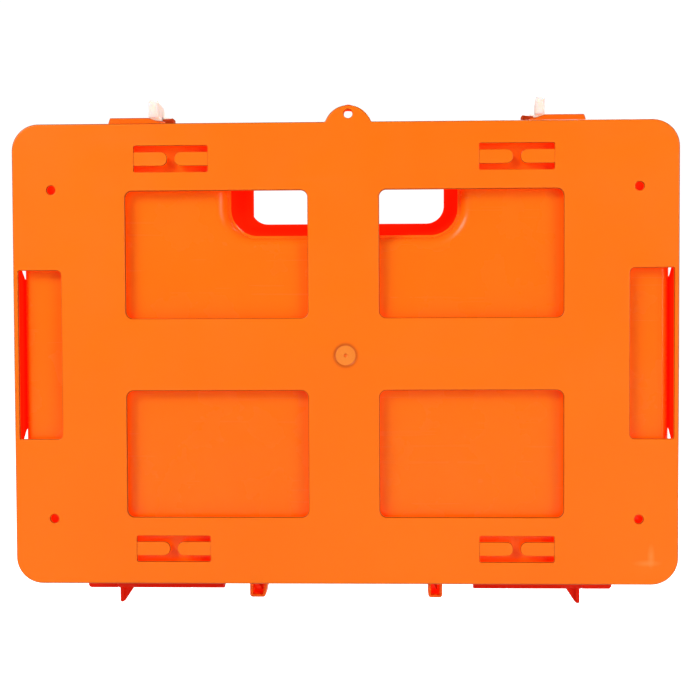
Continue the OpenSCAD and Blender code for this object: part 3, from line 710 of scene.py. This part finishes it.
HINGE_Z, KNUCKLE_R, PIN_R, HINGE_X = -146.3, 5.0, 1.5, (79.0, 165.0)
INNER_BARREL, MIDDLE_BARREL, OUTER_BARREL = (HINGE_X[0], 100.0), (100.4, 147.1), (147.5, HINGE_X[1])
WEB_TOP, WEB_DEPTH = 7.0, 7.0
LUG = {"x": (141.0, 149.0), "y": (-13.7, -5.9), "z": (3.3, 7.3)}
BOSS_R, BOSS_BORE, BOSS_Z = 6.5, 2.05, (130.0, 143.8)
FIN_X, FIN_Z, FIN_T, GUSSET_W = 145.8, -160.0, 2.5, 7.0
FEET = {-1: (51.9, 61.5, 2.4), 1: (50.1, 58.9, 0.0)}
FOOT_Z, FOOT_ROOT, FOOT_Y, FOOT_FLOOR, FOOT_T = -154.0, -138.0, (54.0, 67.8), 63.0, 1.8
SKIRT = {"z": -149.7, "root": -139.3, "corner": 1.2, "y": (60.9, 62.7), "gap": (134.6, 146.6)}
GUARD = {"ends": (113.0, 146.2), "top": (121.5, 145.2), "z": 144.2, "y": (46.5, 54.3), "root": 131.0,
         "shoulders": (141.2, 141.0)}
CLIP_X, CLIP_Y, CATCH_Z = 120.0, 61.0, 147.0


def tube(place, r, bore, low, high, edge, axis):
    """Barrel with a bore: its cross-section, rounded at the four edges, turned once round."""
    profile = np.concatenate([
        arc((r - edge, low + edge), edge, -90, 0, 4), arc((r - edge, high - edge), edge, 0, 90, 4),
        arc((bore + edge / 2, high - edge / 2), edge / 2, 90, 180, 3),
        arc((bore + edge / 2, low + edge / 2), edge / 2, 180, 270, 3)])
    return loft(along(carry(ring(*place, 0.0), profile), axis), loop=True)


def turned(place, profile, axis):
    """Solid turned about an axis: profile of (radius, height) from one end to the other."""
    return loft(along(carry(ring(*place, 0.0), profile), axis))


def knuckle(x0, x1, y0, y1):
    """Hinge barrel with a web up to the rim between y0 and y1."""
    web = rounded(box_corners(y0, y1, HINGE_Z + PIN_R + 0.8, HINGE_Z + WEB_TOP), 0.4, 3)
    return [tube((PART_Y, HINGE_Z), KNUCKLE_R, PIN_R + 0.05, x0, x1, 0.5, "x"),
            rounded_bar(web, x0, x1, 0.4, "x")]


def base_extras():
    """Latch guards, clip bosses, hinge barrels, stop lugs and the hollow feet of the wall-side shell."""
    rim = PART_Y - RIM_GAP / 2
    (gx, ux), (tx, wx), top = GUARD["ends"], GUARD["top"], GUARD["z"]
    root, (gz, uz) = GUARD["root"], GUARD["shoulders"]
    guard = rounded([(gx, root), (ux, root), (ux, uz), (wx, top), (tx, top), (gx, gz)],
                    [0.2, 0.2, 0.6, 0.8, 0.8, 0.6], 6)
    made = [rounded_bar(guard, *GUARD["y"], 0.7, "y")]
    made.append(tube((CLIP_X, CLIP_Y), BOSS_R, BOSS_BORE, *BOSS_Z, 0.5, "z"))
    made += knuckle(*INNER_BARREL, PART_Y - WEB_DEPTH, rim)
    made += knuckle(*OUTER_BARREL, PART_Y - WEB_DEPTH, rim)
    lug = rounded(box_corners(*(PART_Y + y for y in LUG["y"]), *(HINGE_Z + z for z in LUG["z"])), 0.6, 4)
    made.append(rounded_bar(lug, *LUG["x"], 0.5, "x"))
    # skirt in front of the barrels, in two lengths with a way through for the stop fin
    for x0, x1 in ((HINGE_X[0], SKIRT["gap"][0]), (SKIRT["gap"][1], HINGE_X[1])):
        z0, z1, cut = SKIRT["z"], SKIRT["root"], SKIRT["corner"]
        strip = [(x0, z0 + cut), (x0 + cut, z0), (x1 - cut, z0), (x1, z0 + cut), (x1, z1), (x0, z1)]
        made.append(rounded_bar(rounded(strip, 0.4, 3), *SKIRT["y"], 0.5, "y"))
    return made


def foot(side):
    """Hollow foot, a tapered box open towards the wall: its profile runs down the outside, over the mouth's
    edge and back along the inside to the floor."""
    (x0, x1, slant), (y0, y1), t = FEET[side], FOOT_Y, FOOT_T
    box = rounded([(x0, FOOT_Z), (x1, FOOT_Z), (x1, FOOT_ROOT), (x0 - slant * 1.25, FOOT_ROOT)],
                  [1.8, 1.8, 0.5, 0.5], 8)
    profile = np.concatenate([
        [(-0.6, y1)], arc((-0.6, y1 - 0.6), 0.6, 90, 0, 3)[1:], arc((-0.5, y0 + 0.5), 0.5, 0, -90, 4),
        arc((0.5 - t, y0 + 0.5), 0.5, -90, -180, 4), arc((-t - 1.0, FOOT_FLOOR), 1.0, 0, 90, 4)])
    v, f = loft(along(carry(box, profile), "y"))
    return v * np.array([side, 1, 1]), f


back = loft(shell_rings(BACK_Y, PART_Y - RIM_GAP / 2, groove=True))
back_shell = piece("back_shell", [back, foot(-1), foot(1)] + mirrored(base_extras()), case_orange, "case",
                   ["back_shell"])
colour_faces(back_shell)

# ---- Lid ----
# The lid is the same shell turned round, moulded without the side grooves. It carries a shallow label
# recess, the two catch ridges, the middle hinge barrels with their stop fins, and four posts for the knobs.
LABEL, LABEL_D = (-120.0, 120.0, -95.0, 40.0, 8.0), 0.8
RIDGE = {"r": (13.5, 20.5), "half": 9.9, "z": (136.0, 147.7)}
KNOB_AT, POST_R, POST_BORE, POST_Y = (168.0, 108.0), 5.0, 2.56, 74.3


def turn_round(shell):
    """Mirror image across the parting plane."""
    v, f = shell
    return v * np.array([1, -1, 1]) + np.array([0, 2 * PART_Y, 0]), f


def lid_body():
    """Shell mirrored from the wall side, its face cut open round the label recess."""
    face = 2 * PART_Y - FRONT_Y
    rings = shell_rings(face, PART_Y - RIM_GAP / 2, groove=False)
    x0, x1, z0, z1, r = LABEL
    dip = np.concatenate([arc((0.5, face + 0.5), 0.5, -90, -170, 4),
                          arc((-0.5, face + LABEL_D - 0.3), 0.3, 0, 90, 4)])
    recess = along(carry(rounded(box_corners(x0, x1, z0, z1), r), dip), "y")
    return [turn_round(part) for part in (loft(rings, caps=(False, True)), loft(recess, caps=(False, True)),
                                          flat_face([rings[0], recess[0]]))]


def catch_ridge():
    """Ridge between two circles about the clip's pivot, cut off straight at both sides; edges rounded."""
    half = RIDGE["half"]
    x = np.linspace(-half, half, 13)
    near, far = (np.stack([x, np.sqrt(r * r - x * x)], axis=1) for r in RIDGE["r"])
    plan = np.concatenate([near, far[::-1]]) + np.array([CLIP_X, CLIP_Y])
    radii = np.zeros(len(plan))
    radii[[0, 12, 13, 25]] = 0.5
    return rounded_bar(rounded(plan, radii, 3), *RIDGE["z"], 0.7, "z")


def lid_extras():
    """Catch ridge, middle hinge barrel, stop fin with its gusset, and the posts that hold the knobs."""
    rim = PART_Y + RIM_GAP / 2
    made = [catch_ridge()] + knuckle(*MIDDLE_BARREL, rim, PART_Y + WEB_DEPTH)
    fin = rounded(box_corners(FIN_X - FIN_T, FIN_X, FIN_Z, HINGE_Z), [0.9, 0.9, 0.2, 0.2], 4)
    made.append(rounded_bar(fin, PART_Y - 3, PART_Y + 3, 0.5, "y"))
    gusset = rounded([(FIN_X - FIN_T - 0.1, FIN_Z + 0.3), (FIN_X - 1, FIN_Z + 0.3), (FIN_X - 1, HINGE_Z - 3),
                      (FIN_X - FIN_T - GUSSET_W, HINGE_Z - 3)], [0.5, 0.2, 0.2, 0.4], 3)
    made.append(rounded_bar(gusset, PART_Y - 1.2, PART_Y + 1.2, 0.4, "y"))
    for z in (-KNOB_AT[1], KNOB_AT[1]):
        made.append(tube((KNOB_AT[0], z), POST_R, POST_BORE, POST_Y, FRONT_Y - 1, 0.5, "y"))
    return made


lid_shell = piece("lid_shell", lid_body() + mirrored(lid_extras()), case_orange, "lid", ["lid_shell"])
colour_faces(lid_shell)

# ---- Grips ----
# Each half grip is a hollow channel of the same ABS, pushed between the walls of the hand opening and open
# towards the parting plane.
GRIP_Z, GRIP_D, GRIP_X = (112.0, 141.0), 14.0, 63.2
GRIP_WALL = (4.0, 3.5)


def grip(flat_y, way):
    """Channel section in depth and height, run across the opening: 9 mm rounds on the outside, a pocket
    inside."""
    (z0, z1), (wz, wy), d = GRIP_Z, GRIP_WALL, GRIP_D
    section, normals = rounded([(0, z0), (d, z0), (d, z1), (0, z1), (0, z1 - wz), (d - wy, z1 - wz),
                                (d - wy, z0 + wz), (0, z0 + wz)], [0.8, 9, 9, 0.8, 0.6, 2, 2, 0.6], 10)
    section = section * np.array([way, 1]) + np.array([flat_y, 0])
    ends = np.array([(0.0, -GRIP_X), (0.0, -0.3), (0.0, 0.3), (0.0, GRIP_X)])
    return loft(along(carry((section, normals), ends), "x"))


piece("back_grip", [grip(PART_Y - RIM_GAP / 2, -1)], case_orange, "case", ["back_grip"])
piece("lid_grip", [grip(PART_Y + RIM_GAP / 2, 1)], case_orange, "lid", ["lid_grip"])

# ---- Seal ----
# Extruded black rubber cord in a groove of the lid's rim; it stands proud and is squeezed by the other rim.
SEAL_IN, SEAL_Y = (2.65, 4.85), (68.12, 70.35)
rubber, *_ = moulded_plastic("seal_rubber", (0.022, 0.022, 0.024), (0.035, 0.034, 0.034),
                             grain=1500.0, gloss=(0.55, 0.75), rubs=0.3, relief=0.03)


def seal_ring():
    """Rounded square section carried along the rim's outline, so many steps round the section, each a copy
    of the outline at its own distance inside the rim and its own depth."""
    (g0, g1), (y0, y1) = SEAL_IN, SEAL_Y
    section = rounded(box_corners(g0, g1, y0, y1), 0.7, 4)[0]
    rings = [shell_section(y, (RIM[0] - g, RIM[1] - g), RIM_R - g, (HAND_IN[0] + g, HAND_IN[1] - g),
                           HAND_IN[2] + g, 2.0) for g, y in section]
    return loft(along(np.array(rings), "y"), loop=True)


piece("lid_seal", [seal_ring()], rubber, "lid", ["lid_seal"])

# ---- Hinge pins and clip pins ----
# Zinc-plated steel: a plain pin through each hinge's three barrels, and a headed pin up through each boss,
# riveted flat over the clip.
steel, steel_shader, _ = moulded_plastic("pin_steel", (0.62, 0.63, 0.64), (0.5, 0.5, 0.5), grain=900.0,
                                         gloss=(0.22, 0.4), rubs=0.4, relief=0.006)
steel_shader.inputs["Metallic"].default_value = 1.0
CLIP_PIN = [(0.0, 126.3), (3.3, 126.3), (3.8, 126.8), (3.8, 127.7), (3.4, 128.1), (2.0, 128.1), (2.0, 152.4),
            (1.5, 153.0), (0.0, 153.0)]


def pin_profile(r, low, high, chamfer=0.3):
    """Radius against height of a plain pin, chamfered at both ends."""
    return [(r * 0.4, low), (r - chamfer, low), (r, low + chamfer), (r, high - chamfer), (r - chamfer, high),
            (r * 0.4, high)]


for side, name in ((-1, "left"), (1, "right")):
    ends = sorted((side * (HINGE_X[0] + 0.5), side * (HINGE_X[1] - 0.5)))
    rod = turned((PART_Y, HINGE_Z), pin_profile(PIN_R, *ends), "x")
    piece("hinge_pin_" + name, [rod], steel, "case", ["hinge_pin_" + name])
    rivet = turned((side * CLIP_X, CLIP_Y), [(max(r, 0.05), z) for r, z in CLIP_PIN], "z")
    piece("clip_pin_" + name, [rivet], steel, "case", ["clip_pin_" + name])

# ---- Turn clips ----
# Milky nylon: a high thin bar on a round hub that turns on its pin, with a nose that drops over the ridge.
CLIP_HALF, CLIP_TOP, CLIP_TAIL, CLIP_NOSE, CLIP_DRAFT = 2.6, 156.2, 8.0, 25.0, 0.4
CLIP_TURN = {-1: 2.5, 1: 5.5}
nylon, nylon_shader, _ = moulded_plastic("clip_nylon", (0.95, 0.88, 0.82), (0.90, 0.80, 0.73), grain=1800.0,
                                         gloss=(0.25, 0.4), rubs=0.3)
nylon_shader.inputs["Subsurface Weight"].default_value = 1.0
nylon_shader.inputs["Subsurface Radius"].default_value = (1.0, 0.75, 0.6)
nylon_shader.inputs["Subsurface Scale"].default_value = 0.008
# Painted glow: a peach emission evens out the clips' shading.
nylon_shader.inputs["Emission Color"].default_value = (1.0, 0.78, 0.64, 1)
nylon_shader.inputs["Emission Strength"].default_value = 0.22
nylon_shader.inputs["Specular IOR Level"].default_value = 0.2


def clip(side):
    """Bar outline in depth and height, its thickness rounded and drafted, thicker towards the foot; a round
    hub; and a nose that widens round the pivot. All turned about the pin by the closed clip's own angle."""
    foot_z, over, under = CATCH_Z - 2, CATCH_Z + 1.2, CATCH_Z - 2.4
    near, reach = RIDGE["r"][0] - 1.2, RIDGE["r"][1] + 0.5
    bar = rounded([(-CLIP_TAIL, foot_z), (near, foot_z), (near, over), (reach, over), (reach, under),
                   (CLIP_NOSE, under), (CLIP_NOSE, CLIP_TOP), (-CLIP_TAIL, CLIP_TOP)],
                  [1.0, 0.5, 0.4, 0.4, 0.5, 0.8, 3.0, 2.4], 8)
    upright, faces = rounded_bar(bar, -CLIP_HALF, CLIP_HALF, 0.9, "x")
    upright[:, 0] *= 1 + CLIP_DRAFT / CLIP_HALF * (CLIP_TOP - upright[:, 2]) / (CLIP_TOP - foot_z)
    hub = [(2.08, CATCH_Z - 3.0), (3.6, CATCH_Z - 3.0), (4.0, CATCH_Z - 2.6), (4.0, CATCH_Z - 1.2),
           (3.7, CATCH_Z - 0.8), (2.2, CATCH_Z - 0.7)]
    turn = np.radians(90 + np.linspace(-14, 14, 15))
    section = rounded(box_corners(reach, CLIP_NOSE - 0.1, under, CATCH_Z + 3.0), 0.5, 3)[0]
    flat = section[None, :, 0, None] * np.stack([np.cos(turn), np.sin(turn)], axis=1)[:, None]
    height = np.broadcast_to(section[None, :, 1, None], flat.shape[:2] + (1,))
    nose = loft(np.concatenate([flat, height], axis=2))
    parts = [(upright, faces), turned((0.0, 0.0), hub, "z"), nose]
    lean = math.radians(-side * CLIP_TURN[side])
    spin = np.array([[math.cos(lean), -math.sin(lean), 0], [math.sin(lean), math.cos(lean), 0], [0, 0, 1]])
    return [(v @ spin.T + np.array([side * CLIP_X, CLIP_Y, 0]), f) for v, f in parts]


for side, name in ((-1, "left"), (1, "right")):
    piece("turn_clip_" + name, clip(side), nylon, "clip_" + name, ["turn_clip_" + name])

# ---- Dividers ----
# Cloudy polystyrene sheet, cut straight and pushed in: one shelf across the base and two uprights below it.
SHEET_T, SHEET_Y = 2.0, (9.5, 62.0)
SHELF_X, SHELF_Z = 178.8, 10.0
UPRIGHT_X, UPRIGHT_Z = 62.0, (-123.0, 9.9)
sheet, sheet_shader, _ = moulded_plastic("divider_sheet", (0.80, 0.80, 0.78), (0.72, 0.72, 0.70),
                                         grain=1400.0, gloss=(0.3, 0.5), rubs=0.4)
sheet_shader.inputs["Subsurface Weight"].default_value = 0.4
sheet_shader.inputs["Subsurface Radius"].default_value = (1.0, 1.0, 1.0)
sheet_shader.inputs["Subsurface Scale"].default_value = 0.003

shelf = rounded(box_corners(-SHELF_X, SHELF_X, *SHEET_Y), 1.5, 4)
piece("shelf_divider", [rounded_bar(shelf, SHELF_Z, SHELF_Z + SHEET_T, 0.3, "z")], sheet, "case",
      ["shelf_divider"])
upright = rounded(box_corners(*SHEET_Y, *UPRIGHT_Z), 1.5, 4)
for side, name in ((-1, "left"), (1, "right")):
    middle, half = side * UPRIGHT_X, SHEET_T / 2
    piece("divider_" + name, [rounded_bar(upright, middle - half, middle + half, 0.3, "x")], sheet,
          "case", ["divider_" + name])

# ---- Clear cover ----
# Pressed clear acrylic sheet that keeps the lid's contents in, cut away round the hand opening.
COVER_Y, COVER_T, COVER_HALF, COVER_R = 72.0, 2.0, (189.3, 131.9), 18.0
COVER_HAND = (68.7, 72.0, 19.0)
acrylic, acrylic_shader, _ = moulded_plastic("clear_acrylic", (0.97, 0.99, 1.0), (0.95, 0.98, 0.99),
                                             grain=500.0, gloss=(0.03, 0.09), rubs=0.15, relief=0.002)
acrylic_shader.inputs["Transmission Weight"].default_value = 1.0
acrylic_shader.inputs["IOR"].default_value = 1.49


def cover_sheet():
    """Sheet with a rounded edge, and a hole for each knob's shaft."""
    (w, h), (a, f, r), edge = COVER_HALF, COVER_HAND, 0.4
    outline = rounded([(-w, -h), (w, -h), (w, h), (a, h), (a, f), (-a, f), (-a, h), (-w, h)],
                      [COVER_R, COVER_R, COVER_R, 3.0, r, r, 3.0, COVER_R], 16)
    rim = np.concatenate([[(-edge - 0.3, 0.0)], arc((-edge, edge), edge, -90, 0, 4),
                          arc((-edge, COVER_T - edge), edge, 0, 90, 4), [(-edge - 0.3, COVER_T)]])
    bands = [carry(outline, rim)]
    for x in (-KNOB_AT[0], KNOB_AT[0]):
        for z in (-KNOB_AT[1], KNOB_AT[1]):
            bands.append(carry(ring(x, z, 2.8, 32), hole_edge(0.3, 0.3, COVER_T)))
    bands = [along(b + np.array([0, 0, COVER_Y]), "y") for b in bands]
    return ([loft(b, caps=(False, False)) for b in bands]
            + [flat_face([b[0] for b in bands]), flat_face([b[-1] for b in bands])])


piece("clear_cover", cover_sheet(), acrylic, "lid", ["clear_cover"])

# ---- Knobs ----
# Dark grey nylon quarter-turn knobs: an oval wing on a round collar, and a shaft into the lid's post.
KNOB_SHAFT, KNOB_COLLAR, KNOB_OVAL = 2.5, 5.0, (9.0, 4.0)
knob_grey, *_ = moulded_plastic("knob_nylon", (0.06, 0.062, 0.066), (0.09, 0.09, 0.092), grain=1600.0,
                                gloss=(0.35, 0.5), rubs=0.3, relief=0.02)


def knob(x, z):
    """Wing outline: a circle cut by two parallel sides; collar and shaft turned about the same axis."""
    (reach, half), back = KNOB_OVAL, COVER_Y - 4.2
    across = math.sqrt(reach * reach - half * half)
    end = np.linspace(-math.asin(half / reach), math.asin(half / reach), 9)
    cap = reach * np.stack([np.cos(end), np.sin(end)], axis=1)
    wing, normals = rounded(np.concatenate([cap, -cap]) + np.array([x, z]), 0.4, 2)
    stem = np.concatenate([[(0.5, back), (KNOB_COLLAR - 0.8, back)],
                           arc((KNOB_COLLAR - 0.8, back + 0.8), 0.8, -90, 0, 4),
                           [(KNOB_COLLAR, COVER_Y - 0.4), (KNOB_COLLAR - 0.3, COVER_Y - 0.1),
                            (KNOB_SHAFT, COVER_Y - 0.1), (KNOB_SHAFT, COVER_Y + 11.2),
                            (KNOB_SHAFT - 0.4, COVER_Y + 11.6), (0.5, COVER_Y + 11.6)]])
    return [rounded_bar((wing, normals), COVER_Y - 3.4, COVER_Y - 0.1, 0.8, "y"), turned((x, z), stem, "y")]


KNOBS = {"knob_top_left": (-1, 1, "knob_a"), "knob_top_right": (1, 1, "knob_b"),
         "knob_low_left": (-1, -1, "knob_c"), "knob_low_right": (1, -1, "knob_d")}
for name, (sx, sz, body) in KNOBS.items():
    piece(name, knob(sx * KNOB_AT[0], sz * KNOB_AT[1]), knob_grey, body, [name])
